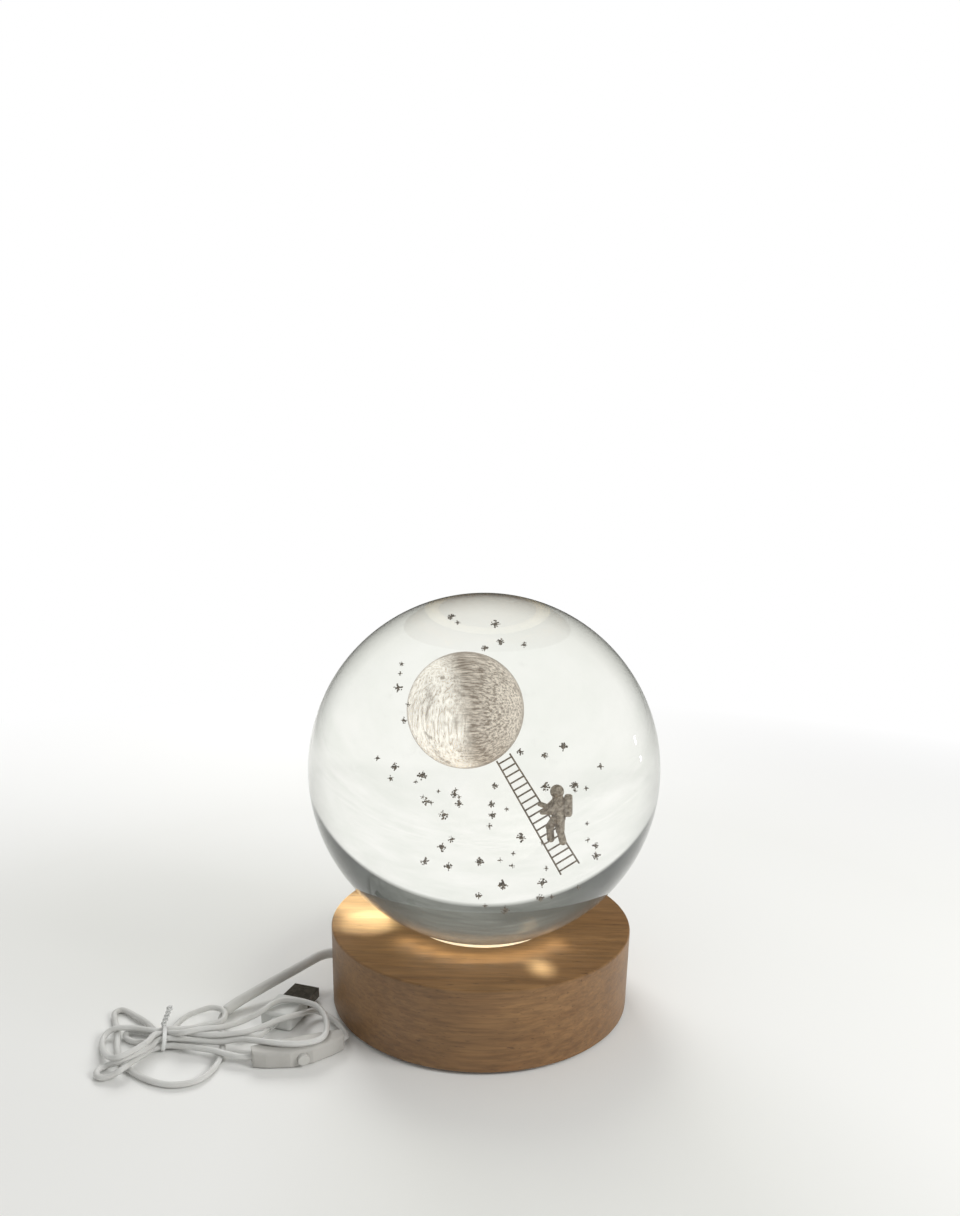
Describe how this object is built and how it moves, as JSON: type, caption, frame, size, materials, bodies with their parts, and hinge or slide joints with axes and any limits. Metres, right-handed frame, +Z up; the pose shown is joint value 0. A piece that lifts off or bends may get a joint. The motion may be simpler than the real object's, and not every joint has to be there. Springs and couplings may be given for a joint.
{
  "type": "glass_ball_lamp",
  "caption": "Solid glass ball with an engraved moon, ladder and climber, resting on a round wooden base with LEDs under a frosted disc, a USB lead and an inline push switch",
  "frame": {"origin": "centre of the wooden base's underside, at the foot pads' lowest plane, on the floor", "axes": "+Z up through the centre of the ball, -Y towards the viewer, -X towards the lead"},
  "size_m": [0.2338, 0.1559, 0.1814],
  "materials": {
    "turned_wood": "sanded pale hardwood, thin clear lacquer",
    "clear_rubber": "translucent silicone",
    "frosted_plastic": "frosted, translucent",
    "board_white": "white solder mask",
    "led_yellow": "phosphor gel",
    "black_plastic": "moulded",
    "steel": "zinc plated",
    "grey_rubber": "matt foam",
    "cord_jacket": "soft white PVC",
    "core_red": "PVC",
    "core_black": "PVC",
    "solder": "bright solder",
    "tie_plastic": "clear white coated wire",
    "grey_plastic": "moulded, satin",
    "button_plastic": "moulded, satin",
    "plug_plastic": "moulded, satin",
    "plated_steel": "nickel plated",
    "gilt_contacts": "gold flashed",
    "clear_glass": "polished, solid",
    "cracked_glass": "fine cracks inside the glass"
  },
  "bodies": {
    "base": {"wood_base": "turned_wood", "diffuser_disc": "frosted_plastic", "led_board": "board_white", "led_chips": "led_yellow", "board_resistors": "black_plastic", "board_screws": "steel", "bottom_cover": "black_plastic", "cover_screws": "steel", "foot_pads": "grey_rubber", "inner_cord": "cord_jacket", "cord_clip": "black_plastic", "clip_screws": "steel", "lead_wire_red": "core_red", "lead_wire_black": "core_black", "solder_joints": "solder", "cord_sleeve": "cord_jacket", "cord_to_hank": "cord_jacket", "cord_hank": "cord_jacket", "twist_tie": "tie_plastic", "switch_front_shell": "grey_plastic", "switch_back_shell": "grey_plastic", "switch_core": "black_plastic", "switch_screws": "steel", "cord_into_switch": "cord_jacket", "cord_out_of_switch": "cord_jacket", "plug_overmold": "plug_plastic", "plug_shell": "plated_steel", "plug_tongue": "plug_plastic", "plug_contacts": "gilt_contacts"},
    "ring": {"seat_ring": "clear_rubber"},
    "ball": {"crystal_ball": "clear_glass", "engraved_moon": "cracked_glass", "engraved_ladder": "cracked_glass", "engraved_climber": "cracked_glass", "engraved_stars": "cracked_glass"},
    "button": {"switch_button": "button_plastic"}
  },
  "joints": [
    {"name": "ball_turn", "type": "hinge", "parent": "base", "child": "ring", "pos_m": [0, 0, 0.0358], "axis": [0, 0, 1], "continuous": true},
    {"name": "ball_lift", "type": "slide", "parent": "ring", "child": "ball", "axis": [0, 0, 1], "range_m": [0, 0.06]},
    {"name": "switch_press", "type": "slide", "parent": "base", "child": "button", "axis": [-0.3746, 0.9272, 0], "range_m": [0, 0.001], "stiffness_N_per_m": 600, "springref_m": -0.001}
  ]
}
